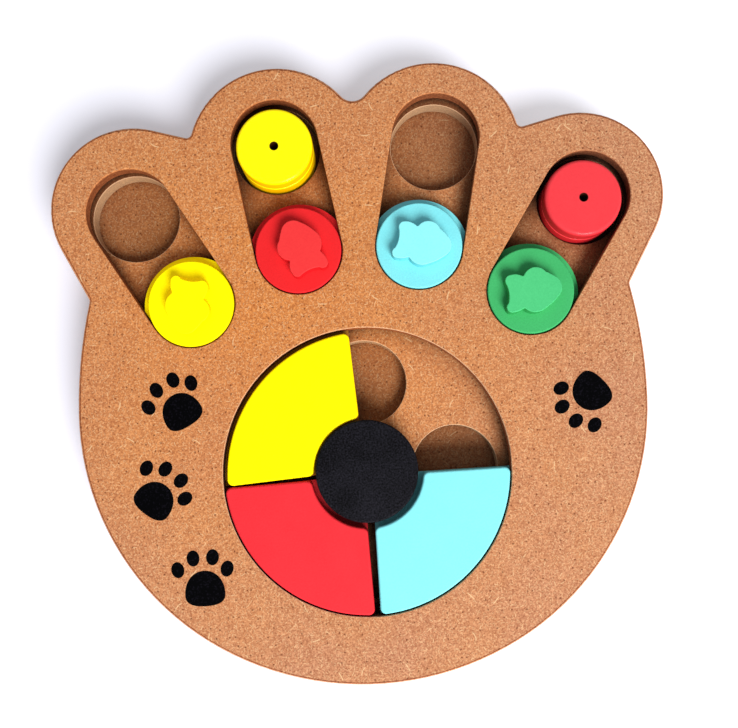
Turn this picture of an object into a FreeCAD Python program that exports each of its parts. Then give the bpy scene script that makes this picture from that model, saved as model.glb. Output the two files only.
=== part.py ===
import FreeCAD, Part
import math
import os

# Treat puzzle board in the shape of a paw, built up from four glued fibreboard plates.
# Origin: on the axis of the round hub, in the plane of the board's underside.
# +Z points up out of the board and +Y points from the palm to the toes. Sizes are millimetres.

# Board plates, from the table up
BASE_THICKNESS = 5.5
POCKET_DEPTH = 6.5
TRACK_THICKNESS = 5.0
LIP_THICKNESS = 5.0
EDGE_ROUND = 1.5
RIM_ROUND = 0.4

# Palm outline: a bottom arc, a rounder arc on each side and a flat shoulder arc above it
PALM_RADIUS = 133.4
PALM_CENTRE_Y = 38.2
PALM_HALF_ANGLE = 30.0
SIDE_RADIUS = 123.8
SHOULDER_RADIUS = 222.0
SHOULDER_BELOW_LOBE = 23.0

# The whole outline sits a little askew on its slots, as on the photographed board
OUTLINE_SHIFT = -1.3
OUTLINE_TURN_ANGLE = -0.35

# Toes: their slots fan out from one point below the hub, evenly spaced
FAN_Y = -44.0
TOE_STEP_ANGLE = 21.4
INNER_SLOT_START = 147.6
OUTER_SLOT_START = 144.7
SLIDER_TRAVEL = 50.8

# Toe outlines: a round lobe about each slot's far end, and the outer lobe's two straight flanks
INNER_LOBE_RADIUS = 40.3
INNER_LOBE_SETBACK = 5.8
OUTER_LOBE_RADIUS = 37.5
OUTER_LOBE_LEAN_ANGLE = 0.6
LOW_FLANK_ANGLE = -28.0
HIGH_FLANK_ANGLE = 105.0
FLANK_LENGTH = 50.0
MIDDLE_NOTCH_ROUND = 7.0
NOTCH_ROUND = 2.2

# Sliders: a painted disc over a wider flange, with a fish on top
DISC_RADIUS = 19.5
FLANGE_OVERHANG = 3.4
FLANGE_THICKNESS = 4.4
DISC_ABOVE_BOARD = 0.5
DISC_ROUND = 0.7
FISH_HEIGHT = 5.0
FISH_CORNER = 0.7
FISH_ROUND = 0.4

# Treat pockets and the plugs that close two of them
TOE_POCKET_RADIUS = 20.2
PLUG_RADIUS = 17.5
PLUG_HEIGHT = 17.4
PLUG_ROUND = 1.8
GROOVE_BELOW_TOP = 6.4
GROOVE_SIZE = 0.5
FINGER_HOLE_RADIUS = 1.95
FINGER_HOLE_DEPTH = 12.0

# Palm recess with its hub and shutters
PALM_POCKET_RADIUS = 19.6
PALM_POCKET_DISTANCE = 40.6
PALM_POCKETS = 4
CAP_RADIUS = 23.0
CAP_ABOVE_BOARD = 2.0
CAP_ROUND = 0.9
SPINDLE_RADIUS = 16.0
SHUTTER_OUTER_RADIUS = 64.2
SHUTTER_INNER_RADIUS = 25.4
SHUTTER_SIDE_OFFSET = 2.0
SHUTTER_CORNER = 2.6
SHUTTER_ROUND = 1.0
SHUTTER_OVERHANG = 3.8

# Running clearances
SLOT_GAP = 0.5
TRACK_GAP = 0.5
RECESS_GAP = 0.7
SPINDLE_GAP = 2.2
CAP_GAP = 0.6

# Worked out from the sizes above
POCKET_Z = BASE_THICKNESS
FLOOR_Z = POCKET_Z + POCKET_DEPTH
LIP_Z = FLOOR_Z + TRACK_THICKNESS
TOP_Z = LIP_Z + LIP_THICKNESS
FLANGE_Z = FLOOR_Z + FLANGE_THICKNESS
DISC_Z = TOP_Z + DISC_ABOVE_BOARD
SLOT_RADIUS = DISC_RADIUS + SLOT_GAP
FLANGE_RADIUS = DISC_RADIUS + FLANGE_OVERHANG
TRACK_RADIUS = FLANGE_RADIUS + TRACK_GAP
RECESS_RADIUS = SHUTTER_OUTER_RADIUS + RECESS_GAP
SHUTTER_FLANGE_RADIUS = SHUTTER_OUTER_RADIUS + SHUTTER_OVERHANG
RECESS_TRACK_RADIUS = SHUTTER_FLANGE_RADIUS + RECESS_GAP
CAP_Z = FLANGE_Z + CAP_GAP

# Each toe from left to right: its steps from the middle and where its slot starts
TOES = {
    "toe_1": (-1.5, OUTER_SLOT_START),
    "toe_2": (-0.5, INNER_SLOT_START),
    "toe_3": (0.5, INNER_SLOT_START),
    "toe_4": (1.5, OUTER_SLOT_START),
}

# How far each treat pocket lies short of its slot's end
POCKET_SHORT = {"toe_1": 0.0, "toe_2": 0.0, "toe_3": 1.0, "toe_4": 0.0}

# How each fish was glued on: its turn, and its middle off the disc's middle to the right and up
FISH_PLACES = {
    "toe_1": (-106.0, -0.4, -0.9),
    "toe_2": (104.0, 1.9, -0.7),
    "toe_3": (-20.0, 0.5, -0.1),
    "toe_4": (-2.0, -0.8, -1.1),
}
# The toes with a plug, and how far it lies off its pocket's middle to the right and up
PLUGGED = {"toe_2": (0.0, -1.9), "toe_4": (-1.5, -1.8)}

# Each shutter: the direction of its middle from the hub, and how far it has slid in towards the hub
SHUTTERS = {
    "shutter_left": (139.9, 1.7),
    "shutter_bottom": (228.0, 0.0),
    "shutter_right": (316.6, 0.0),
}

# Fish outline about the middle of its disc, nose to the right. Each stretch is an arc: via, end
FISH_START = (11.7, -2.7)
FISH_ARCS = (
    ((13.5, 1.5), (11.7, 5.6)),
    ((9.2, 7.2), (6.2, 8.6)),
    ((0.9, 10.5), (-3.6, 6.3)),
    ((-7.6, 7.4), (-10.8, 6.5)),
    ((-11.7, 5.0), (-11.3, 3.0)),
    ((-10.1, -0.9), (-10.3, -5.6)),
    ((-10.4, -9.1), (-8.0, -9.7)),
    ((-5.5, -9.1), (-3.2, -7.7)),
    ((1.1, -9.6), (6.2, -7.8)),
    ((9.2, -5.5), (11.7, -2.7)),
)


def point(x, y, z=0.0):
    return FreeCAD.Vector(x, y, z)


def polar(centre, radius, degrees):
    turn = math.radians(degrees)
    return point(centre.x + radius * math.cos(turn), centre.y + radius * math.sin(turn), centre.z)


def arc(centre, radius, start, end):
    middle = polar(centre, radius, (start + end) / 2)
    return Part.Arc(polar(centre, radius, start), middle, polar(centre, radius, end)).toShape()


def line(start, end):
    return Part.LineSegment(start, end).toShape()


def polygon(corners):
    return [line(a, b) for a, b in zip(corners, corners[1:] + corners[:1])]


def prism(edges, bottom, height):
    face = Part.Face(Part.Wire(edges))
    face.translate(point(0, 0, bottom))
    return face.extrude(point(0, 0, height))


def disc(centre, radius, bottom, top):
    return Part.makeCylinder(radius, top - bottom, point(centre.x, centre.y, bottom))


def stadium(start, end, radius, bottom, top):
    """A round-ended slot from one centre to the other."""
    along = math.degrees(math.atan2(end.y - start.y, end.x - start.x))
    sides = [
        arc(end, radius, along - 90, along + 90),
        line(polar(end, radius, along + 90), polar(start, radius, along + 90)),
        arc(start, radius, along + 90, along + 270),
        line(polar(start, radius, along - 90), polar(end, radius, along - 90)),
    ]
    return prism(sides, bottom, top - bottom)


def toe_angle(steps):
    return 90.0 - steps * TOE_STEP_ANGLE


def toe_point(steps, distance):
    return polar(point(0, FAN_Y), distance, toe_angle(steps))


def slot_ends(toe):
    steps, start = TOES[toe]
    return toe_point(steps, start), toe_point(steps, start + SLIDER_TRAVEL)


def pocket_centre(toe):
    steps, start = TOES[toe]
    return toe_point(steps, start + SLIDER_TRAVEL - POCKET_SHORT[toe])


def level_edges(solid, z):
    """The edges of a solid that lie in one level plane."""
    near = 1e-4
    return [e for e in solid.Edges if abs(e.BoundBox.ZMin - z) < near and abs(e.BoundBox.ZMax - z) < near]


def sharp_upright_edges(solid):
    """The upright edges where two walls meet at an angle."""
    found = []
    for edge in solid.Edges:
        box = edge.BoundBox
        if box.ZLength < 1.0 or box.XLength > 1e-4 or box.YLength > 1e-4:
            continue
        normals = []
        for face in solid.ancestorsOfType(edge, Part.Face):
            u, v = face.Surface.parameter(edge.CenterOfMass)
            normals.append(face.normalAt(u, v))
        if len(normals) == 2 and math.degrees(normals[0].getAngle(normals[1])) > 5.0:
            found.append(edge)
    return found


def save(name, solid):
    solid.exportStep("parts/" + name + ".step")


def palm_block():
    """The palm's prism, closed off above through the middles of the toe lobes."""
    bottom = point(0, PALM_CENTRE_Y)
    turn = PALM_HALF_ANGLE - 90.0
    side = polar(bottom, PALM_RADIUS - SIDE_RADIUS, turn)
    shoulder = point(side.x + SIDE_RADIUS - SHOULDER_RADIUS, side.y)
    shoulder_top = lobe_centre(1.5).y - SHOULDER_BELOW_LOBE
    rise = math.degrees(math.asin((shoulder_top - shoulder.y) / SHOULDER_RADIUS))
    left_side = point(-side.x, side.y)
    left_shoulder = point(-shoulder.x, shoulder.y)
    edges = [
        arc(shoulder, SHOULDER_RADIUS, rise, 0),
        arc(side, SIDE_RADIUS, 0, turn),
        arc(bottom, PALM_RADIUS, turn, -180.0 - turn),
        arc(left_side, SIDE_RADIUS, -180.0 - turn, -180.0),
        arc(left_shoulder, SHOULDER_RADIUS, -180.0, -180.0 - rise),
    ]
    lobes = [lobe_centre(steps) for steps in (-1.5, -0.5, 0.5, 1.5)]
    left_top = polar(left_shoulder, SHOULDER_RADIUS, -180.0 - rise)
    corners = [left_top, *lobes, polar(shoulder, SHOULDER_RADIUS, rise)]
    edges += [line(a, b) for a, b in zip(corners, corners[1:])]
    return prism(edges, 0, TOP_Z)


def lobe_centre(steps):
    """The middle of a toe's round outline, by the toe's steps from the middle."""
    if abs(steps) < 1:
        return toe_point(steps, INNER_SLOT_START + SLIDER_TRAVEL - INNER_LOBE_SETBACK)
    lean = math.copysign(OUTER_LOBE_LEAN_ANGLE / TOE_STEP_ANGLE, steps)
    return toe_point(steps - lean, OUTER_SLOT_START + SLIDER_TRAVEL)


def flank(centre, side, turn, leads):
    """The corner that a straight flank adds to the outer lobe. It runs on under the next outline."""
    touch = polar(point(0, 0), OUTER_LOBE_RADIUS, turn)
    end = polar(touch, FLANK_LENGTH, turn + leads)
    corners = [centre, centre + point(side * touch.x, touch.y), centre + point(side * end.x, end.y)]
    return prism(polygon(corners), 0, TOP_Z)


def board_block():
    """The board's whole outline at its full height, with its notches and its rims rounded."""
    pieces = []
    for steps in (-0.5, 0.5):
        pieces.append(disc(lobe_centre(steps), INNER_LOBE_RADIUS, 0, TOP_Z))
    for steps in (-1.5, 1.5):
        centre = lobe_centre(steps)
        side = math.copysign(1.0, steps)
        pieces.append(disc(centre, OUTER_LOBE_RADIUS, 0, TOP_Z))
        pieces.append(flank(centre, side, LOW_FLANK_ANGLE, -90.0))
        pieces.append(flank(centre, side, HIGH_FLANK_ANGLE, 90.0))
    block = palm_block().multiFuse(pieces).removeSplitter().Solids[0]
    middle = [e for e in sharp_upright_edges(block) if abs(e.CenterOfMass.x) < 1.0]
    block = block.makeFillet(MIDDLE_NOTCH_ROUND, middle)
    block = block.makeFillet(NOTCH_ROUND, sharp_upright_edges(block))
    block = block.makeFillet(EDGE_ROUND, level_edges(block, 0.0) + level_edges(block, TOP_Z)).Solids[0]
    block.rotate(point(0, 0), point(0, 0, 1), OUTLINE_TURN_ANGLE)
    block.translate(point(OUTLINE_SHIFT, 0))
    return block


def plate(block, bottom, top):
    """The slice of the board's block between two heights."""
    box = block.BoundBox
    slab = Part.makeBox(box.XLength, box.YLength, top - bottom, point(box.XMin, box.YMin, bottom))
    return block.common(slab).Solids[0]


def palm_pocket_centres():
    return [polar(point(0, 0), PALM_POCKET_DISTANCE, 360.0 * i / PALM_POCKETS) for i in range(PALM_POCKETS)]


def pocket_plate(block):
    """The second plate, with a round treat pocket at each slot's far end and a ring of them in the palm."""
    solid = plate(block, POCKET_Z, FLOOR_Z)
    for toe in TOES:
        solid = solid.cut(disc(pocket_centre(toe), TOE_POCKET_RADIUS, POCKET_Z, FLOOR_Z))
    for centre in palm_pocket_centres():
        solid = solid.cut(disc(centre, PALM_POCKET_RADIUS, POCKET_Z, FLOOR_Z))
    rims = [e for e in level_edges(solid, FLOOR_Z) if e.Closed and e.Length < 7 * TOE_POCKET_RADIUS]
    return solid.makeFillet(RIM_ROUND, rims).Solids[0]


def track_plate(block):
    """The third plate, cut wider than the slots so that the flanges run under the top plate."""
    solid = plate(block, FLOOR_Z, LIP_Z)
    for toe in TOES:
        start, end = slot_ends(toe)
        solid = solid.cut(stadium(start, end, TRACK_RADIUS, FLOOR_Z, LIP_Z))
    return solid.cut(disc(point(0, 0), RECESS_TRACK_RADIUS, FLOOR_Z, LIP_Z)).Solids[0]


def top_plate(block):
    """The top plate, with the four toe slots and the round palm opening."""
    solid = plate(block, LIP_Z, TOP_Z)
    openings = [stadium(*slot_ends(toe), SLOT_RADIUS, LIP_Z, TOP_Z) for toe in TOES]
    openings.append(disc(point(0, 0), RECESS_RADIUS, LIP_Z, TOP_Z))
    for opening in openings:
        solid = solid.cut(opening)
    rims = []
    for edge in level_edges(solid, TOP_Z):
        if any(opening.distToShape(edge)[0] < 1e-4 for opening in openings):
            rims.append(edge)
    return solid.makeFillet(RIM_ROUND, rims).Solids[0]


def slider(toe):
    """A toe's slider at the near end of its slot: flange, disc and fish."""
    centre = slot_ends(toe)[0]
    flange = disc(centre, FLANGE_RADIUS, FLOOR_Z, FLANGE_Z)
    body = disc(centre, DISC_RADIUS, FLANGE_Z, DISC_Z)
    body = body.makeFillet(DISC_ROUND, level_edges(body, DISC_Z))
    turn, right, up = FISH_PLACES[toe]
    return flange, body, fish(centre + point(right, up), turn)


def fish(centre, turn):
    """A flat fish with round fins, standing on its disc."""
    edges = []
    start = FISH_START
    for via, end in FISH_ARCS:
        edges.append(Part.Arc(point(*start), point(*via), point(*end)).toShape())
        start = end
    solid = prism(edges, DISC_Z, FISH_HEIGHT)
    solid = solid.makeFillet(FISH_CORNER, sharp_upright_edges(solid))
    solid = solid.makeFillet(FISH_ROUND, level_edges(solid, DISC_Z + FISH_HEIGHT))
    solid.rotate(point(0, 0), point(0, 0, 1), turn)
    solid.translate(centre)
    return solid


def plug(toe):
    """A round plug standing in its pocket, with a rounded top, a fine groove and a finger hole."""
    right, up = PLUGGED[toe]
    centre = pocket_centre(toe) + point(right, up)
    top = POCKET_Z + PLUG_HEIGHT
    solid = disc(centre, PLUG_RADIUS, POCKET_Z, top)
    solid = solid.makeFillet(PLUG_ROUND, level_edges(solid, top))
    ring = Part.makeTorus(PLUG_RADIUS, GROOVE_SIZE, point(centre.x, centre.y, top - GROOVE_BELOW_TOP))
    solid = solid.cut(ring)
    return solid.cut(disc(centre, FINGER_HOLE_RADIUS, top - FINGER_HOLE_DEPTH, top))


def sector(direction, centre, inner, outer, bottom, top):
    """A quarter ring with straight sides set in from the quarter's own lines."""
    side = SHUTTER_SIDE_OFFSET

    def side_angle(radius):
        return 45.0 - math.degrees(math.asin(side / radius))

    low = polar(centre, outer, -side_angle(outer))
    high = polar(centre, outer, side_angle(outer))
    edges = [
        arc(centre, outer, -side_angle(outer), side_angle(outer)),
        line(high, polar(centre, inner, side_angle(inner))),
        arc(centre, inner, side_angle(inner), -side_angle(inner)),
        line(polar(centre, inner, -side_angle(inner)), low),
    ]
    solid = prism(edges, bottom, top - bottom)
    solid.rotate(point(0, 0), point(0, 0, 1), direction)
    return solid


def shutter(name):
    """A shutter of the palm: a wide flange below and the painted quarter ring above it."""
    direction, slid_in = SHUTTERS[name]
    centre = point(-slid_in, 0)
    inner = SPINDLE_RADIUS + SPINDLE_GAP
    flange = sector(direction, centre, inner, SHUTTER_FLANGE_RADIUS, FLOOR_Z, FLANGE_Z)
    top = sector(direction, centre, SHUTTER_INNER_RADIUS, SHUTTER_OUTER_RADIUS, FLANGE_Z, DISC_Z)
    top = top.makeFillet(SHUTTER_CORNER, sharp_upright_edges(top))
    top = top.makeFillet(SHUTTER_ROUND, level_edges(top, DISC_Z))
    return flange, top


def hub():
    """The fixed hub: a spindle on the recess floor under a wider cap that holds the shutters down."""
    axis = point(0, 0)
    top = TOP_Z + CAP_ABOVE_BOARD
    cap = disc(axis, CAP_RADIUS, CAP_Z, top)
    cap = cap.makeFillet(CAP_ROUND, level_edges(cap, top))
    return disc(axis, SPINDLE_RADIUS, FLOOR_Z, CAP_Z), cap


os.makedirs("parts", exist_ok=True)
block = board_block()
save("base_plate", plate(block, 0, BASE_THICKNESS))
save("pocket_plate", pocket_plate(block))
save("track_plate", track_plate(block))
save("top_plate", top_plate(block))
for toe in TOES:
    flange, body, knob = slider(toe)
    save(toe + "_flange", flange)
    save(toe + "_disc", body)
    save(toe + "_fish", knob)
for toe in PLUGGED:
    save(toe + "_plug", plug(toe))
for name in SHUTTERS:
    flange, top = shutter(name)
    save(name + "_flange", flange)
    save(name, top)
spindle, cap = hub()
save("hub_spindle", spindle)
save("hub_cap", cap)
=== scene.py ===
import math

import bmesh
import bpy
from mathutils import Matrix, Vector


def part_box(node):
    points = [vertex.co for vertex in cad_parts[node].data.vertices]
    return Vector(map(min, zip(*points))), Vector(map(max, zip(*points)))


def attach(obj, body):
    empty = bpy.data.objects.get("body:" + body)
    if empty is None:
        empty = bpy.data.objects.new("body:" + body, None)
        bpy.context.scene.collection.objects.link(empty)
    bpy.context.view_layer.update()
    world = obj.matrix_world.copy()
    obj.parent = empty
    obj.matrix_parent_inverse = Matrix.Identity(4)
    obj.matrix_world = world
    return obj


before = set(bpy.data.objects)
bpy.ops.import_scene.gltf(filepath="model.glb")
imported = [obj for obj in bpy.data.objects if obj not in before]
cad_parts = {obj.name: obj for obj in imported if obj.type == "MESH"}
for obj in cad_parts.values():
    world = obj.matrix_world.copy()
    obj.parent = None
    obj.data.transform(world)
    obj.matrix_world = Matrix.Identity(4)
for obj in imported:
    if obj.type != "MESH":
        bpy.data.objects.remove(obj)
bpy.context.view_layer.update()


# The board: four plates of raw medium-density fibreboard, routed to the shape of a paw,
# with its slots, pockets and round recess, and glued in a stack of 22 mm.
# Pressed wood dust and short fibres: smooth pale brown faces, rougher routed walls.

MM = 0.001
BOARD_DUST = ("#B67553", "#FDBC8D")
# Painted light: the dust is tinted most orange round this point, for warmer light there, and
# pinker away from it.
WARM_LIGHT_MIDDLE = (-45 * MM, 85 * MM, 0.0)
WARM_LIGHT_TINT = "#FBE7B4"
AWAY_FROM_WARM_LIGHT_TINT = "#EDECE8"
# Pale fibres 1 to 5 mm long; real ones are 0.1 to 0.3 mm wide and are drawn at 0.4 mm.
# Seed, spacing, length, width, share of the spots that have one, and how pale it is.
PALE_FIBRES = [(0.19, 1.5 * MM, 1.3 * MM, 0.38 * MM, 0.75, 0.34),
               (0.11, 4.6 * MM, 2.0 * MM, 0.40 * MM, 0.32, 0.50),
               (0.73, 15 * MM, 4.6 * MM, 0.50 * MM, 0.30, 0.62)]
FIBRE_COLOUR = "#FFD9A4"
# Bark: scattered dark specks up to a millimetre long, most of them less than half as wide.
# The last two values are how dark a speck is, and its colour.
BARK_SPECKS = [(0.41, 1.7 * MM, 1.0 * MM, 0.40 * MM, 0.60, 0.40, "#9A4E26"),
               (0.53, 4.2 * MM, 0.9 * MM, 0.75 * MM, 0.35, 0.75, "#6A3418")]
# Routed walls: the colour that is laid over the dust, in the deep and in the pale layers. On the
# outer walls it is their own colour; in the pockets, the slots and the recess it is darker,
# painted shade.
WALL_AND_SHADE_TINTS = {"outer": ("#E4D2BE", "#FFF4E8"), "pocket": ("#B4CACC", "#D4E4E4"),
              "slot": ("#9C8880", "#BAA49A"), "recess": ("#A89690", "#C6B6B0")}
# Laid over the dust as well: painted shade on the pocket floors, a darker line along the outer
# edge, a painted highlight at the rims of the openings, the glue, and painted shade in the
# corners.
POCKET_FLOOR_SHADE_TINT = "#CAC8C8"
EDGE_LINE_TINT = "#BC9C8C"
RIM_HIGHLIGHT_TINT = "#F0E4DA"
GLUE_TINT = "#8C6448"
CORNER_SHADE_TINT = "#A4948A"
# Mixed into it: the sanded edge, painted light on the pocket walls, and the crisp brims.
SANDED_COLOUR = "#FFD2B4"
POCKET_WALL_LIGHT_COLOUR = "#EFD0AC"
BRIM_COLOUR = "#F0C8A0"
# The slots fan out from a point below the hub, and each is as long as its slider's travel.
SLOT_FAN = (0.0, -44 * MM, 0.0)
SLOT_TRAVEL = 50.8 * MM
# Nearer than this to a slot's middle line or to the hub, a wall is that opening's wall.
SLOT_REACH = 25 * MM
RECESS_REACH = 70 * MM
REACH_END = 0.6 * MM


def linear(colour):
    """An sRGB hex colour as the linear colour that a shader reads."""
    parts = [int(colour[i:i + 2], 16) / 255 for i in (1, 3, 5)]
    return [p / 12.92 if p <= 0.04045 else ((p + 0.055) / 1.055) ** 2.4 for p in parts] + [1.0]


def add(tree, kind, inputs=None, **settings):
    """Adds a node with its settings and links. An input gets a value, another node's output,
    or a node, which stands for the first of its outputs in use."""
    node = tree.nodes.new(kind)
    for name, value in settings.items():
        setattr(node, name, value)
    for name, value in (inputs or {}).items():
        if isinstance(value, bpy.types.Node):
            value = next(output for output in value.outputs if output.enabled)
        if isinstance(value, bpy.types.NodeSocket):
            tree.links.new(value, node.inputs[name])
        else:
            node.inputs[name].default_value = value
    return node


def start_material(name):
    """An empty material, its node tree, and the place on the piece in metres."""
    material = bpy.data.materials.new(name)
    material.use_nodes = True
    tree = material.node_tree
    tree.nodes.clear()
    return material, tree, add(tree, "ShaderNodeTexCoord").outputs["Object"]


def patches(tree, place, seed, size, low, high, detail=2.0):
    """Uneven patches of a real size in metres, as a number from low to high."""
    noise = add(tree, "ShaderNodeTexNoise",
                {"Vector": place, "W": seed, "Scale": 1 / size, "Detail": detail},
                noise_dimensions="4D")
    return add(tree, "ShaderNodeMapRange",
               {"Value": noise, "From Min": 0.3, "From Max": 0.7, "To Min": low, "To Max": high})


def fibres(tree, place, seed, spacing, length, width, share):
    """Short fibres lying every way: one in a share of the cells round scattered points."""
    shifted = add(tree, "ShaderNodeVectorMath", {0: place, 1: (seed, seed * 0.7, 0.0)},
                  operation="ADD")
    cells = add(tree, "ShaderNodeTexVoronoi", {"Vector": shifted, "Scale": 1 / spacing},
                voronoi_dimensions="2D")
    chance = add(tree, "ShaderNodeSeparateColor", {0: cells.outputs["Color"]}).outputs
    off = add(tree, "ShaderNodeVectorMath", {0: shifted, 1: cells.outputs["Position"]},
              operation="SUBTRACT")
    angle = add(tree, "ShaderNodeMath", {0: chance[0], 1: math.tau}, operation="MULTIPLY")
    turned = add(tree, "ShaderNodeVectorRotate", {"Vector": off, "Angle": angle},
                 rotation_type="Z_AXIS")
    along, across, _ = add(tree, "ShaderNodeSeparateXYZ", {0: turned}).outputs
    # Each fibre bends a little, by up to a tenth of its length.
    sway = add(tree, "ShaderNodeMath", {0: chance[2], 1: 0.5}, operation="SUBTRACT")
    bend = add(tree, "ShaderNodeMath", {0: sway, 1: 0.9 / length}, operation="MULTIPLY")
    square = add(tree, "ShaderNodeMath", {0: along, 1: along}, operation="MULTIPLY")
    bow = add(tree, "ShaderNodeMath", {0: square, 1: bend}, operation="MULTIPLY")
    side = add(tree, "ShaderNodeMath", {0: across, 1: bow}, operation="ADD")
    side = add(tree, "ShaderNodeMath", {0: side}, operation="ABSOLUTE")
    reach = add(tree, "ShaderNodeMath", {0: along}, operation="ABSOLUTE")
    line = add(tree, "ShaderNodeMapRange",
               {"Value": side, "From Min": 0.3 * width, "From Max": 0.6 * width,
                "To Min": 1.0, "To Max": 0.0})
    ends = add(tree, "ShaderNodeMapRange",
               {"Value": reach, "From Min": 0.35 * length, "From Max": 0.5 * length,
                "To Min": 1.0, "To Max": 0.0})
    there = add(tree, "ShaderNodeMath", {0: chance[1], 1: share}, operation="LESS_THAN")
    stroke = add(tree, "ShaderNodeMath", {0: line, 1: ends}, operation="MULTIPLY")
    return add(tree, "ShaderNodeMath", {0: stroke, 1: there}, operation="MULTIPLY")


def far_from_slots(tree, flat_place):
    """How far a place lies from the nearest toe slot's middle line, in metres."""
    # Every place on the board is nearer than this.
    nearest = 1.0
    for toe in ("toe_1", "toe_2", "toe_3", "toe_4"):
        low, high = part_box(toe + "_disc")
        start = Vector(((low[0] + high[0]) / 2, (low[1] + high[1]) / 2, 0.0))
        course = (start - Vector(SLOT_FAN)).normalized()
        out = add(tree, "ShaderNodeVectorMath", {0: flat_place, 1: start},
                  operation="SUBTRACT")
        along = add(tree, "ShaderNodeVectorMath", {0: out, 1: course},
                    operation="DOT_PRODUCT")
        along = add(tree, "ShaderNodeClamp", {"Value": along, "Max": SLOT_TRAVEL})
        foot = add(tree, "ShaderNodeVectorMath", {0: course, "Scale": along},
                   operation="SCALE")
        off = add(tree, "ShaderNodeVectorMath", {0: out, 1: foot}, operation="DISTANCE")
        nearest = add(tree, "ShaderNodeMath", {0: nearest, 1: off}, operation="MINIMUM")
    return nearest


def dust_and_fibres(tree, place, face):
    """The colour of the pressed faces, with the dust and the fibres as numbers."""
    # The dust is finer than 0.3 mm; it is drawn at 0.65 mm so that it still shows.
    dust = patches(tree, place, 1.0, 0.65 * MM, 0.0, 1.0, detail=3.0)
    colour = add(tree, "ShaderNodeMix",
                 {0: dust, 6: linear(BOARD_DUST[0]), 7: linear(BOARD_DUST[1])},
                 data_type="RGBA")
    # Painted light tints the dust more orange near one point and pinker away from it, and uneven
    # pressing leaves slow clouds.
    middle = add(tree, "ShaderNodeVectorMath", {0: place, 1: WARM_LIGHT_MIDDLE},
                 operation="DISTANCE")
    away = add(tree, "ShaderNodeMapRange",
               {"Value": middle, "From Min": 30 * MM, "From Max": 175 * MM})
    clouds = patches(tree, place, 4.0, 35 * MM, 0.0, 1.0)
    clumps = patches(tree, place, 7.0, 3.2 * MM, 0.0, 1.0, detail=3.0)
    for share, first, second in ((away, WARM_LIGHT_TINT, AWAY_FROM_WARM_LIGHT_TINT),
                                 (clouds, "#FFFBF2", "#F8F5FA"),
                                 (clumps, "#F6EEE6", "#FFFFFF")):
        tint = add(tree, "ShaderNodeMix", {0: share, 6: linear(first), 7: linear(second)},
                   data_type="RGBA")
        colour = add(tree, "ShaderNodeMix", {0: 1.0, 6: colour, 7: tint},
                     data_type="RGBA", blend_type="MULTIPLY")
    fibre = 0.0
    for *stroke, paleness in PALE_FIBRES:
        strokes = add(tree, "ShaderNodeMath", {0: fibres(tree, place, *stroke), 1: paleness},
                      operation="MULTIPLY")
        fibre = add(tree, "ShaderNodeMath", {0: fibre, 1: strokes}, operation="MAXIMUM")
    fibre = add(tree, "ShaderNodeMath", {0: fibre, 1: face}, operation="MULTIPLY")
    colour = add(tree, "ShaderNodeMix", {0: fibre, 6: colour, 7: linear(FIBRE_COLOUR)},
                 data_type="RGBA")
    for *stroke, darkness, bark in BARK_SPECKS:
        speck = add(tree, "ShaderNodeMath", {0: fibres(tree, place, *stroke), 1: face},
                    operation="MULTIPLY")
        speck = add(tree, "ShaderNodeMath", {0: speck, 1: darkness}, operation="MULTIPLY")
        colour = add(tree, "ShaderNodeMix", {0: speck, 6: colour, 7: linear(bark)},
                     data_type="RGBA")
    return colour, dust, fibre


def outer_edge(tree, colour, height, upward, outside, top):
    """The colour with the board's worked outer edge added."""
    # The outer edge is rounded over and sanded pale, with a darker line where that starts.
    edge_line = add(tree, "ShaderNodeMapRange",
                    {"Value": height, "From Min": top - 0.002 * MM, "From Max": top - 0.01 * MM})
    line_end = add(tree, "ShaderNodeMapRange",
                   {"Value": height, "From Min": top - 0.16 * MM, "From Max": top - 0.10 * MM})
    for share in (line_end, outside):
        edge_line = add(tree, "ShaderNodeMath", {0: edge_line, 1: share}, operation="MULTIPLY")
    colour = add(tree, "ShaderNodeMix", {0: edge_line, 6: colour, 7: linear(EDGE_LINE_TINT)},
                 data_type="RGBA", blend_type="MULTIPLY")
    sanded = add(tree, "ShaderNodeMapRange",
                 {"Value": height, "From Min": top - 0.20 * MM, "From Max": top - 0.40 * MM})
    rounding = add(tree, "ShaderNodeMapRange",
                   {"Value": upward, "From Min": 0.15, "From Max": 0.40})
    for share in (rounding, outside, 0.6):
        sanded = add(tree, "ShaderNodeMath", {0: sanded, 1: share}, operation="MULTIPLY")
    colour = add(tree, "ShaderNodeMix", {0: sanded, 6: colour, 7: linear(SANDED_COLOUR)},
                 data_type="RGBA")
    return colour


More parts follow.
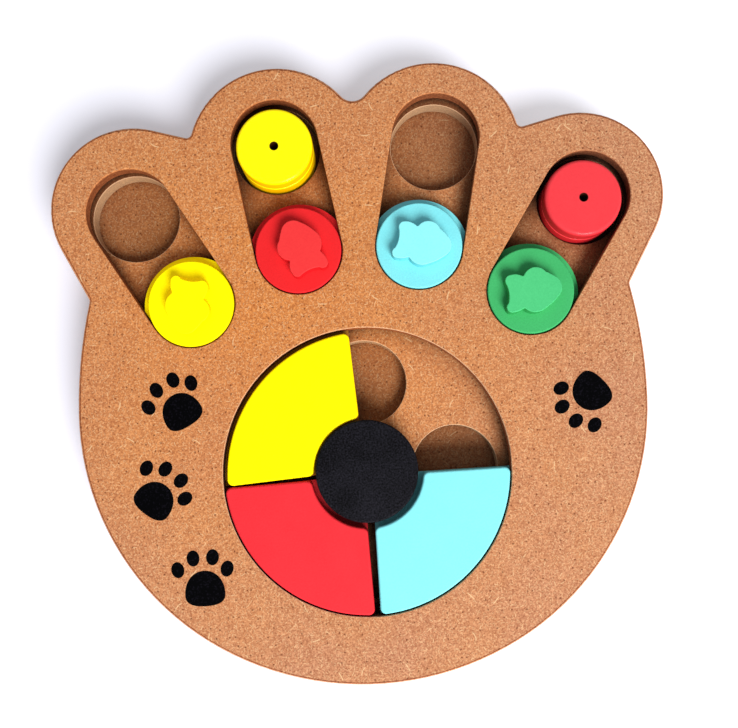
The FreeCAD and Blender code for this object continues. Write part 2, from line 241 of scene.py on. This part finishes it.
def routed_walls(tree, place, height, top, above, in_slot, inside):
    """The tint to lay over the dust on routed walls, with painted shade inside the openings, and
    their layers as a number.
    """
    # Routed walls cut through the fibres in faint flat layers, turned rings in the pockets.
    stretched = add(tree, "ShaderNodeMapping", {0: place, 3: (1.0, 1.0, 7.0)})
    layers = patches(tree, stretched.outputs[0], 41.0, 4.5 * MM, 0.0, 1.0, detail=3.0)
    tints = {}
    for where, (deep, pale) in WALL_AND_SHADE_TINTS.items():
        tints[where] = add(tree, "ShaderNodeMix",
                           {0: layers, 6: linear(deep), 7: linear(pale)}, data_type="RGBA")
    inner = add(tree, "ShaderNodeMix", {0: in_slot, 6: tints["recess"], 7: tints["slot"]},
                data_type="RGBA")
    inner = add(tree, "ShaderNodeMix", {0: above, 6: tints["pocket"], 7: inner},
                data_type="RGBA")
    # Painted highlight: the top of each opening's wall is tinted pale, as if it catches the light.
    rim = add(tree, "ShaderNodeMapRange",
              {"Value": height, "From Min": top - 0.9 * MM, "From Max": top - 0.4 * MM})
    inner = add(tree, "ShaderNodeMix", {0: rim, 6: inner, 7: linear(RIM_HIGHLIGHT_TINT)},
                data_type="RGBA")
    wall_tint = add(tree, "ShaderNodeMix", {0: inside, 6: tints["outer"], 7: inner},
                    data_type="RGBA")
    # The glue between the plates shows on the outer walls as thin darker lines.
    seams = 0.0
    for plate in ("base_plate", "pocket_plate", "track_plate"):
        off = add(tree, "ShaderNodeMath", {0: height, 1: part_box(plate)[1][2]},
                  operation="SUBTRACT")
        off = add(tree, "ShaderNodeMath", {0: off}, operation="ABSOLUTE")
        seam = add(tree, "ShaderNodeMapRange",
                   {"Value": off, "From Min": 0.05 * MM, "From Max": 0.25 * MM,
                    "To Min": 0.5, "To Max": 0.0})
        seams = add(tree, "ShaderNodeMath", {0: seams, 1: seam}, operation="MAXIMUM")
    wall_tint = add(tree, "ShaderNodeMix", {0: seams, 6: wall_tint, 7: linear(GLUE_TINT)},
                    data_type="RGBA")
    return wall_tint, layers


def sheltered(tree, colour, height, track_floor, face, in_slot, inside):
    """The colour with painted shade added: dark corners and darker gaps."""
    # Painted shade: little light gets into the corners of the slots, so they are darkened. Those
    # of the recess and of the pockets are round and open and get more. Narrow gaps are painted
    # near black, as shade.
    shelter = add(tree, "ShaderNodeAmbientOcclusion", {"Distance": 12 * MM}, samples=6)
    corner = add(tree, "ShaderNodeMapRange",
                 {"Value": shelter.outputs["AO"], "From Min": 0.98, "From Max": 0.50})
    on_track = add(tree, "ShaderNodeMapRange",
                   {"Value": height, "From Min": track_floor - 1.0 * MM,
                    "From Max": track_floor - 0.3 * MM, "To Min": 0.3, "To Max": 1.0})
    more_in_slots = add(tree, "ShaderNodeMapRange",
                        {"Value": in_slot, "From Min": 0.0, "From Max": 1.0,
                         "To Min": 0.4, "To Max": 1.0})
    for share in (face, inside, on_track, more_in_slots):
        corner = add(tree, "ShaderNodeMath", {0: corner, 1: share}, operation="MULTIPLY")
    colour = add(tree, "ShaderNodeMix", {0: corner, 6: colour, 7: linear(CORNER_SHADE_TINT)},
                 data_type="RGBA", blend_type="MULTIPLY")
    gap_shade = add(tree, "ShaderNodeMapRange",
              {"Value": shelter.outputs["AO"], "From Min": 0.20, "From Max": 0.46,
               "To Min": 0.02, "To Max": 1.0})
    colour = add(tree, "ShaderNodeVectorMath", {0: colour, "Scale": gap_shade}, operation="SCALE")
    return colour


def fibreboard():
    """Raw fibreboard: mixed wood dust, pale short fibres, dark specks of bark."""
    material, tree, place = start_material("raw_fibreboard")
    height = add(tree, "ShaderNodeSeparateXYZ", {0: place}).outputs[2]
    facing = add(tree, "ShaderNodeNewGeometry").outputs["Normal"]
    upward = add(tree, "ShaderNodeSeparateXYZ", {0: facing}).outputs[2]
    level = add(tree, "ShaderNodeMath", {0: upward}, operation="ABSOLUTE")
    wall = add(tree, "ShaderNodeMapRange",
               {"Value": level, "From Min": 0.35, "From Max": 0.9,
                "To Min": 1.0, "To Max": 0.0})
    face = add(tree, "ShaderNodeMath", {0: 1.0, 1: wall}, operation="SUBTRACT")
    colour, dust, fibre = dust_and_fibres(tree, place, face)

    # Painted shade: the floors of the pockets are darkened.
    base_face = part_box("base_plate")[1][2]
    floor = add(tree, "ShaderNodeMapRange",
                {"Value": height, "From Min": base_face + 0.5 * MM,
                 "From Max": base_face + 0.9 * MM, "To Min": 1.0, "To Max": 0.0})
    floor = add(tree, "ShaderNodeMath", {0: floor, 1: face}, operation="MULTIPLY")
    colour = add(tree, "ShaderNodeMix", {0: floor, 6: colour, 7: linear(POCKET_FLOOR_SHADE_TINT)},
                 data_type="RGBA", blend_type="MULTIPLY")

    # Slots and recess are told from the outline by where they lie on the board.
    track_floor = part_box("pocket_plate")[1][2]
    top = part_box("top_plate")[1][2]
    flat_place = add(tree, "ShaderNodeVectorMath", {0: place, 1: (1.0, 1.0, 0.0)},
                     operation="MULTIPLY")
    from_hub = add(tree, "ShaderNodeVectorMath", {0: flat_place}, operation="LENGTH")
    in_slot = add(tree, "ShaderNodeMapRange",
                  {"Value": far_from_slots(tree, flat_place), "From Min": SLOT_REACH,
                   "From Max": SLOT_REACH + REACH_END, "To Min": 1.0, "To Max": 0.0})
    in_recess = add(tree, "ShaderNodeMapRange",
                    {"Value": from_hub, "From Min": RECESS_REACH,
                     "From Max": RECESS_REACH + REACH_END, "To Min": 1.0, "To Max": 0.0})
    inside = add(tree, "ShaderNodeMath", {0: in_slot, 1: in_recess}, operation="MAXIMUM")
    outside = add(tree, "ShaderNodeMath", {0: 1.0, 1: inside}, operation="SUBTRACT")

    colour = outer_edge(tree, colour, height, upward, outside, top)

    # Above the floor of the tracks a wall is a slot's or the recess's, below it a pocket's.
    above = add(tree, "ShaderNodeMapRange",
                {"Value": height, "From Min": track_floor - 0.2 * MM,
                 "From Max": track_floor + 0.1 * MM})
    wall_tint, layers = routed_walls(tree, place, height, top, above, in_slot, inside)
    colour = add(tree, "ShaderNodeMix", {0: wall, 6: colour, 7: wall_tint},
                 data_type="RGBA", blend_type="MULTIPLY")

    # Painted light: the walls of the pockets are mixed a quarter of the way to a pale colour, as
    # if lit.
    pocket_wall_light = add(tree, "ShaderNodeMath", {0: 1.0, 1: above}, operation="SUBTRACT")
    for share in (wall, inside, 0.25):
        pocket_wall_light = add(tree, "ShaderNodeMath", {0: pocket_wall_light, 1: share},
                          operation="MULTIPLY")
    colour = add(tree, "ShaderNodeMix", {0: pocket_wall_light, 6: colour, 7: linear(POCKET_WALL_LIGHT_COLOUR)},
                 data_type="RGBA")
    # The brim of the recess and of each pocket is crisp and pale, that of the slots worn.
    brim = add(tree, "ShaderNodeMapRange",
               {"Value": upward, "From Min": 0.15, "From Max": 0.45})
    brim_end = add(tree, "ShaderNodeMapRange",
                   {"Value": upward, "From Min": 0.99, "From Max": 0.9})
    slot_brim = add(tree, "ShaderNodeMapRange",
                    {"Value": height, "From Min": top - 6 * MM, "From Max": top - 5 * MM})
    slot_brim = add(tree, "ShaderNodeMath", {0: in_slot, 1: slot_brim}, operation="MULTIPLY")
    no_slot = add(tree, "ShaderNodeMath", {0: 1.0, 1: slot_brim}, operation="SUBTRACT")
    for share in (brim_end, inside, no_slot, 0.6):
        brim = add(tree, "ShaderNodeMath", {0: brim, 1: share}, operation="MULTIPLY")
    colour = add(tree, "ShaderNodeMix", {0: brim, 6: colour, 7: linear(BRIM_COLOUR)},
                 data_type="RGBA")

    colour = sheltered(tree, colour, height, track_floor, face, in_slot, inside)

    # Fibres stand up a few hundredths of a millimetre, more on the routed walls.
    relief = add(tree, "ShaderNodeMath", {0: dust, 1: fibre}, operation="ADD")
    wall_relief = add(tree, "ShaderNodeMath", {0: wall, 1: layers}, operation="MULTIPLY")
    relief = add(tree, "ShaderNodeMath", {0: relief, 1: wall_relief}, operation="ADD")
    bump = add(tree, "ShaderNodeBump",
               {"Strength": 0.55, "Distance": 0.09 * MM, "Height": relief})
    surface = add(tree, "ShaderNodeBsdfPrincipled",
                  {"Base Color": colour, "IOR": 1.45, "Specular IOR Level": 0.2,
                   "Roughness": patches(tree, place, 51.0, 1.2 * MM, 0.78, 0.95),
                   "Normal": bump})
    add(tree, "ShaderNodeOutputMaterial", {"Surface": surface})
    return material


def dress(material, *nodes):
    """Gives CAD nodes their material."""
    for name in nodes:
        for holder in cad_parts[name].material_slots:
            holder.material = material


dress(fibreboard(), "base_plate", "pocket_plate", "track_plate", "top_plate")


# Paw prints: four small prints on the board's face, one pad and four toes each.
# Black ink, screen-printed straight on the raw board, so that it is a hundredth of a
# millimetre thick and a little of the dust shows through it.

PAD_WIDTH = 18.05 * MM
PAD_HEIGHT = 15.8 * MM
PAD_RISE = 0.36 * MM
PAD_TILT = math.radians(4)
PAD_STEPS = 72
# How square the arch of the pad and its underside are: 1 is an ellipse.
ARCH_POWER = 0.95
UNDERSIDE_POWER = 0.80
PRINT_TOE_WIDTH = 5.8 * MM
PRINT_TOE_LENGTH = 7.2 * MM
PRINT_TOE_STEPS = 40
# Each toe's place in millimetres and its lean in degrees; each print's place and turn.
PRINT_TOES = [(-12.3, 8.5, 14), (-5.5, 13.7, 5), (3.25, 14.3, -4), (9.85, 9.25, -14)]
PRINT_PLACES = [(-82.8, 30.0, 25.9), (-95.8, -9.6, -42.1), (-74.4, -50.1, -2.1),
                (101.9, 31.9, 127.9)]
INK_THICKNESS = 0.04 * MM
board_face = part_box("top_plate")[1][2]


def ink_patch(shape, outline):
    """One closed patch of ink: its outline raised by the thickness of the ink."""
    low = [shape.verts.new((x, y, -INK_THICKNESS)) for x, y in outline]
    high = [shape.verts.new((x, y, INK_THICKNESS)) for x, y in outline]
    shape.faces.new(high)
    shape.faces.new(low[::-1])
    for i in range(len(outline)):
        j = (i + 1) % len(outline)
        shape.faces.new((low[i], low[j], high[j], high[i]))


def turned_point(x, y, angle):
    return (x * math.cos(angle) - y * math.sin(angle),
            x * math.sin(angle) + y * math.cos(angle))


def pad_outline():
    """The pad: a round arch on top, widest two thirds down, nearly flat below."""
    points = []
    for step in range(PAD_STEPS):
        angle = step * math.tau / PAD_STEPS
        across, along = math.cos(angle), math.sin(angle)
        power = ARCH_POWER if along >= 0 else UNDERSIDE_POWER
        reach = PAD_HEIGHT * (2 / 3 if along >= 0 else 1 / 3)
        x = PAD_WIDTH / 2 * math.copysign(abs(across) ** power, across)
        y = reach * math.copysign(abs(along) ** power, along) - PAD_HEIGHT / 6 + PAD_RISE
        points.append(turned_point(x, y, PAD_TILT))
    return points


def toe_outline(x, y, lean):
    """A toe: an upright oval that leans away from the middle of the print."""
    points = []
    for step in range(PRINT_TOE_STEPS):
        angle = step * math.tau / PRINT_TOE_STEPS
        across, along = turned_point(PRINT_TOE_WIDTH / 2 * math.cos(angle),
                                     PRINT_TOE_LENGTH / 2 * math.sin(angle),
                                     math.radians(lean))
        points.append((x * MM + across, y * MM + along))
    return points


def ink():
    """Screen ink: flat black, with pinholes where a fibre has kept it off."""
    material, tree, place = start_material("printed_ink")
    pinholes = add(tree, "ShaderNodeMath",
                   {0: patches(tree, place, 3.0, 0.8 * MM, -1.6, 1.0, detail=1.0), 1: 0.0},
                   operation="MAXIMUM")
    colour = add(tree, "ShaderNodeMix",
                 {0: pinholes, 6: linear("#010102"), 7: linear("#110F16")}, data_type="RGBA")
    bump = add(tree, "ShaderNodeBump",
               {"Strength": 0.3, "Distance": 0.05 * MM,
                "Height": patches(tree, place, 5.0, 0.9 * MM, 0.0, 1.0)})
    surface = add(tree, "ShaderNodeBsdfPrincipled",
                  {"Base Color": colour, "IOR": 1.4, "Specular IOR Level": 0.03,
                   "Roughness": patches(tree, place, 9.0, 3 * MM, 0.5, 0.62), "Normal": bump})
    add(tree, "ShaderNodeOutputMaterial", {"Surface": surface})
    return material


def print_places_tree():
    """Geometry nodes that put one print at each point, turned as the point says."""
    tree = bpy.data.node_groups.new("paw_prints", "GeometryNodeTree")
    for name, kind in (("Places", "NodeSocketGeometry"), ("Print", "NodeSocketObject"),
                       ("Ink", "NodeSocketMaterial")):
        tree.interface.new_socket(name, in_out="INPUT", socket_type=kind)
    tree.interface.new_socket("Prints", in_out="OUTPUT", socket_type="NodeSocketGeometry")
    given = add(tree, "NodeGroupInput").outputs
    motif = add(tree, "GeometryNodeObjectInfo", {"Object": given["Print"]})
    turn = add(tree, "GeometryNodeInputNamedAttribute", {"Name": "turn"}, data_type="FLOAT")
    upright = add(tree, "ShaderNodeCombineXYZ", {2: turn.outputs[0]})
    turned = add(tree, "FunctionNodeEulerToRotation", {0: upright})
    prints = add(tree, "GeometryNodeInstanceOnPoints",
                 {"Points": given["Places"], "Instance": motif.outputs["Geometry"],
                  "Rotation": turned})
    whole = add(tree, "GeometryNodeRealizeInstances", {0: prints})
    inked = add(tree, "GeometryNodeSetMaterial", {"Geometry": whole, "Material": given["Ink"]})
    add(tree, "NodeGroupOutput", {0: inked})
    return tree


def new_object(name, data):
    thing = bpy.data.objects.new(name, data)
    bpy.context.scene.collection.objects.link(thing)
    return thing


motif_shape = bmesh.new()
ink_patch(motif_shape, pad_outline())
for toe in PRINT_TOES:
    ink_patch(motif_shape, toe_outline(*toe))
motif_mesh = bpy.data.meshes.new("one_print")
motif_shape.to_mesh(motif_mesh)
motif_shape.free()
one_print = new_object("one_print", motif_mesh)

places_mesh = bpy.data.meshes.new("print_places")
places_mesh.from_pydata([(x * MM, y * MM, board_face) for x, y, _ in PRINT_PLACES], [], [])
turns = places_mesh.attributes.new("turn", "FLOAT", "POINT")
for number, (_, _, degrees) in enumerate(PRINT_PLACES):
    turns.data[number].value = math.radians(degrees)
paw_prints = new_object("paw_prints", places_mesh)
printing = paw_prints.modifiers.new("printing", "NODES")
printing.node_group = print_places_tree()
for item in printing.node_group.interface.items_tree:
    if item.name == "Print":
        printing[item.identifier] = one_print
    if item.name == "Ink":
        printing[item.identifier] = ink()
printed = bpy.data.meshes.new_from_object(
    paw_prints.evaluated_get(bpy.context.evaluated_depsgraph_get()))
paw_prints.modifiers.clear()
paw_prints.data = printed
bpy.data.objects.remove(one_print)
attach(paw_prints, "board")


# The hub: a turned spindle with a wider cap that holds the shutters' inner edges down.
# Painted fibreboard, matt black: the paint soaks in, so a fine grain shows through.

SHADED_BARE_WOOD = "#3A1D10"


def painted(name, colour, shade, side, roughness=0.58, shine=0.08, grain=0.5, speckle=0.5,
            relief=0.06, varnish=0.0, glow="#000000", node=None, hole=0):
    """Paint on fibreboard: colour as rolled on, shade where it lies thin, and side on the upright
    faces, a painted shade.
    """
    material, tree, place = start_material(name)
    # The grain under the paint is finer than 0.5 mm and is drawn at 0.8 mm.
    fuzz = patches(tree, place, 2.0, 0.8 * MM, 0.0, 1.0, detail=2.0)
    thin = add(tree, "ShaderNodeMath", {0: fuzz, 1: speckle}, operation="MULTIPLY")
    thin = add(tree, "ShaderNodeMath",
               {0: thin, 1: patches(tree, place, 6.0, 11 * MM, 0.0, 0.3)}, operation="ADD")
    coat = add(tree, "ShaderNodeMix", {0: thin, 6: linear(colour), 7: linear(shade)},
               data_type="RGBA")
    # Painted shade: upright faces get the deeper side colour.
    facing = add(tree, "ShaderNodeNewGeometry").outputs["Normal"]
    upward = add(tree, "ShaderNodeSeparateXYZ", {0: facing}).outputs[2]
    level = add(tree, "ShaderNodeMath", {0: upward}, operation="ABSOLUTE")
    edge = add(tree, "ShaderNodeMapRange",
               {"Value": level, "From Min": 0.1, "From Max": 0.75, "To Min": 1.0,
                "To Max": 0.0})
    coat = add(tree, "ShaderNodeMix", {0: edge, 6: coat, 7: linear(side)}, data_type="RGBA")
    # Painted shade: narrow gaps are darkened.
    shelter = add(tree, "ShaderNodeAmbientOcclusion", {"Distance": 4 * MM}, samples=6)
    gap_shade = add(tree, "ShaderNodeMapRange",
              {"Value": shelter.outputs["AO"], "From Min": 0.08, "From Max": 0.34,
               "To Min": 0.12, "To Max": 1.0})
    painted_glow_share = gap_shade
    # The hole in a plug is drilled after painting, so it shows bare wood, painted far darker than
    # the board as the shade deep in the hole.
    if hole:
        middle = [(a + b) / 2 for a, b in zip(*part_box(node))]
        out = add(tree, "ShaderNodeVectorMath", {0: place, 1: middle}, operation="SUBTRACT")
        out = add(tree, "ShaderNodeVectorMath", {0: out, 1: (1.0, 1.0, 0.0)},
                  operation="MULTIPLY")
        out = add(tree, "ShaderNodeVectorMath", {0: out}, operation="LENGTH")
        coated = add(tree, "ShaderNodeMapRange",
                     {"Value": out, "From Min": hole, "From Max": hole + 0.25 * MM})
        coat = add(tree, "ShaderNodeMix", {0: coated, 6: linear(SHADED_BARE_WOOD), 7: coat},
                   data_type="RGBA")
        painted_glow_share = add(tree, "ShaderNodeMath", {0: gap_shade, 1: coated}, operation="MULTIPLY")
    coat = add(tree, "ShaderNodeVectorMath", {0: coat, "Scale": gap_shade}, operation="SCALE")
    bump = add(tree, "ShaderNodeBump",
               {"Strength": grain, "Distance": relief * MM, "Height": fuzz})
    # Painted light: the glow colour shines from the paint, except in narrow gaps and in a plug's
    # hole.
    surface = add(tree, "ShaderNodeBsdfPrincipled",
                  {"Base Color": coat, "IOR": 1.45, "Specular IOR Level": shine,
                   "Roughness": patches(tree, place, 9.0, 5 * MM, roughness - 0.06,
                                        roughness + 0.08),
                   "Coat Weight": varnish, "Coat Roughness": 0.14,
                   "Emission Color": linear(glow), "Emission Strength": painted_glow_share,
                   "Normal": bump})
    add(tree, "ShaderNodeOutputMaterial", {"Surface": surface})
    return material


dress(painted("matt_black_paint", "#28272E", "#030304", "#0C0C0F", roughness=0.5,
              shine=0.05, grain=1.0, speckle=1.0, relief=0.14), "hub_spindle", "hub_cap")


# Toe sliders: each one is a wide flange that runs under the lips of its slot, a disc that
# fills the slot, and a small fish glued on top as a knob for the nose or the teeth.
# Cut from fibreboard and painted, one bright colour each.

# Toe, paint, then the disc's colour, its shade and its edge, and the fish's colour and shade. The
# disc's colour is a darker copy of the fish's, painted shade for the lower disc; the edge colour
# is painted shade as well.
SLIDER_PAINTS = [
    ("toe_1", "yellow", "#FFFE01", "#FFF400", "#FFD800", "#FFFF01", "#FFF800"),
    ("toe_2", "red", "#F62D30", "#EA2428", "#D01C22", "#F9403F", "#F2373A"),
    ("toe_3", "blue", "#8CF0F4", "#7CE0E8", "#6CD0DA", "#99FCFF", "#8EF0F4"),
    ("toe_4", "green", "#4BC072", "#40B064", "#34A258", "#58D486", "#4CC47A")]
# Painted light: the paints glow a little, the yellow one most, so that its shadows stay warm.
PAINTED_LIGHT_GLOW = {"yellow": "#8A6400", "red": "#240404", "blue": "#182C2D", "green": "#000000"}
for toe, paint, colour, shade, side, knob_colour, knob_shade in SLIDER_PAINTS:
    dress(painted(toe + "_" + paint + "_paint", colour, shade, side,
                  glow=PAINTED_LIGHT_GLOW[paint]), toe + "_flange", toe + "_disc")
    dress(painted(toe + "_knob_" + paint + "_paint", knob_colour, knob_shade, side,
                  glow=PAINTED_LIGHT_GLOW[paint]), toe + "_fish")


# Plugs: two turned lids that drop into the outer pockets of toes 2 and 4 and lift out.
# Fibreboard or soft wood with a satin coat, so the rounded edge keeps a thin bright line.

FINGER_HOLE_RADIUS = 1.95 * MM
PLUG_PAINTS = [("toe_2_plug", "yellow", "#FFFF01", "#FFFA00", "#FFC800"),
               ("toe_4_plug", "red", "#F8434A", "#F03A42", "#D8262E")]
for plug, paint, colour, shade, side in PLUG_PAINTS:
    dress(painted("satin_" + paint + "_paint_" + plug, colour, shade, side, roughness=0.40,
                  shine=0.08, grain=0.3, varnish=0.18, glow=PAINTED_LIGHT_GLOW[paint], node=plug,
                  hole=FINGER_HOLE_RADIUS), plug)


# Shutters: three quarter rings that lie loose in the round recess and turn about the hub.
# Each is a flange under the board's lip with a top ring that fills the opening. Painted.

# Shutter, paint, then the top ring's colour, its shade and its edge, and the flange's two. The
# edge colour and the flange's dark colours are painted shade.
SHUTTER_PAINTS = [
    ("shutter_left", "yellow", "#FFFF01", "#FFFA00", "#FFD400", "#A8762C", "#946422"),
    ("shutter_bottom", "red", "#F4373F", "#EC2E37", "#D02028", "#B8262C", "#A61E24"),
    ("shutter_right", "blue", "#90F0F4", "#86E8EC", "#6CD0DA", "#7CCCD0", "#70C0C4")]
for shutter, paint, colour, shade, side, under, under_shade in SHUTTER_PAINTS:
    dress(painted(shutter + "_" + paint + "_paint", colour, shade, side,
                  glow=PAINTED_LIGHT_GLOW[paint]), shutter)
    # Painted shade: the flange lies under the board's lip and beside the hub, so it gets darker
    # colours.
    dress(painted(shutter + "_shaded_" + paint + "_paint", under, under_shade, under_shade),
          shutter + "_flange")


# The table: a plain white sheet under the board that fades to white all round.
# It keeps the soft shadow that the board throws between the toes.

TABLE_HALF = 3.0
TABLE_DROP = 0.1 * MM
SHADOW_MIDDLE = (-90 * MM, 40 * MM, 0.0)
# The sheet's own glow: it grows from the first strength to the second over these distances from
# the middle of the board's shadow, so that the shadow is deepest there, painted shade.
GLOW_REACH = (0.12, 0.40)
GLOW_SHARE = (0.25, 0.75)


def seen_directly(tree):
    """1 where the camera, a gloss or a clear piece looks, 0 for the light that falls."""
    path = add(tree, "ShaderNodeLightPath").outputs
    looks = add(tree, "ShaderNodeMath", {0: path["Is Camera Ray"], 1: path["Is Glossy Ray"]},
                operation="MAXIMUM")
    return add(tree, "ShaderNodeMath", {0: looks, 1: path["Is Transmission Ray"]},
               operation="MAXIMUM")


table_material, table_tree, table_place = start_material("white_table")
from_middle = add(table_tree, "ShaderNodeVectorMath", {0: table_place, 1: SHADOW_MIDDLE},
                  operation="DISTANCE")
glow = add(table_tree, "ShaderNodeMapRange",
           {"Value": from_middle, "From Min": GLOW_REACH[0], "From Max": GLOW_REACH[1],
            "To Min": GLOW_SHARE[0], "To Max": GLOW_SHARE[1]})
glow = add(table_tree, "ShaderNodeMath", {0: glow, 1: seen_directly(table_tree)},
           operation="MULTIPLY")
white_sheet = add(table_tree, "ShaderNodeBsdfDiffuse", {"Color": linear("#EAEBF6")})
white_glow = add(table_tree, "ShaderNodeEmission",
                 {"Color": linear("#FFFFFF"), "Strength": glow})
both = add(table_tree, "ShaderNodeAddShader", {0: white_sheet, 1: white_glow})
add(table_tree, "ShaderNodeOutputMaterial", {"Surface": both})
table_mesh = bpy.data.meshes.new("table")
table_mesh.from_pydata([(x * TABLE_HALF, y * TABLE_HALF, -TABLE_DROP)
                        for x, y in ((-1, -1), (1, -1), (1, 1), (-1, 1))],
                       [], [(0, 1, 2, 3)])
table = new_object("table", table_mesh)
table_mesh.materials.append(table_material)


# Light: one soft lamp above the lower right of the board, and a pale room all round.
# Both together light a flat face a little over 1, so that the yellow paint is full yellow.

LAMP_PLACE = Vector((0.58, -1.14, 1.16))
LAMP_AIM = Vector((0.0, 0.03, 0.02))
LAMP_SIZE = 1.0
LAMP_POWER = 41.0
ROOM_LIGHT = 0.30

lamp_data = bpy.data.lights.new("soft_lamp", "AREA")
lamp_data.shape = "DISK"
lamp_data.size = LAMP_SIZE
lamp_data.energy = LAMP_POWER
lamp = new_object("soft_lamp", lamp_data)
lamp_turn = (LAMP_AIM - LAMP_PLACE).to_track_quat("-Z", "Y")
lamp.matrix_world = Matrix.Translation(LAMP_PLACE) @ lamp_turn.to_matrix().to_4x4()

room = bpy.data.worlds.new("pale_room")
room.use_nodes = True
room.node_tree.nodes.clear()
looked_at = seen_directly(room.node_tree)
room_colour = add(room.node_tree, "ShaderNodeMix",
                  {0: looked_at, 6: linear("#F8F6FF"), 7: linear("#FFFFFF")}, data_type="RGBA")
room_strength = add(room.node_tree, "ShaderNodeMapRange",
                    {"Value": looked_at, "To Min": ROOM_LIGHT, "To Max": 1.0})
sky = add(room.node_tree, "ShaderNodeBackground",
          {"Color": room_colour, "Strength": room_strength})
add(room.node_tree, "ShaderNodeOutputWorld", {"Surface": sky})
bpy.context.scene.world = room


# The camera: it looks straight down on the board from a third of a metre, tilted by less
# than two degrees, as the photograph was taken.

CAMERA_PLACE = (4.68 * MM, 13.67 * MM, 333.08 * MM)
CAMERA_TURNS = (-1.686, -0.600, 2.129)
SENSOR_WIDTH = 36
# In pixels of the picture: its width, the lens, and how far the board sits off its middle.
PICTURE_WIDTH = 738
LENS_PIXELS = 691.9
SHIFT_PIXELS = 56

camera_data = bpy.data.cameras.new("camera")
camera_data.sensor_width = SENSOR_WIDTH
camera_data.lens = SENSOR_WIDTH * LENS_PIXELS / PICTURE_WIDTH
camera_data.shift_y = SHIFT_PIXELS / PICTURE_WIDTH
camera_data.clip_start = 0.01
camera = new_object("camera", camera_data)
seen_turn = Matrix.Identity(3)
for axis, degrees in zip("XYZ", CAMERA_TURNS):
    seen_turn = seen_turn @ Matrix.Rotation(math.radians(degrees), 3, axis)
camera.matrix_world = Matrix.Translation(CAMERA_PLACE) @ seen_turn.transposed().to_4x4()
bpy.context.scene.camera = camera
bpy.context.scene.view_settings.view_transform = "Standard"
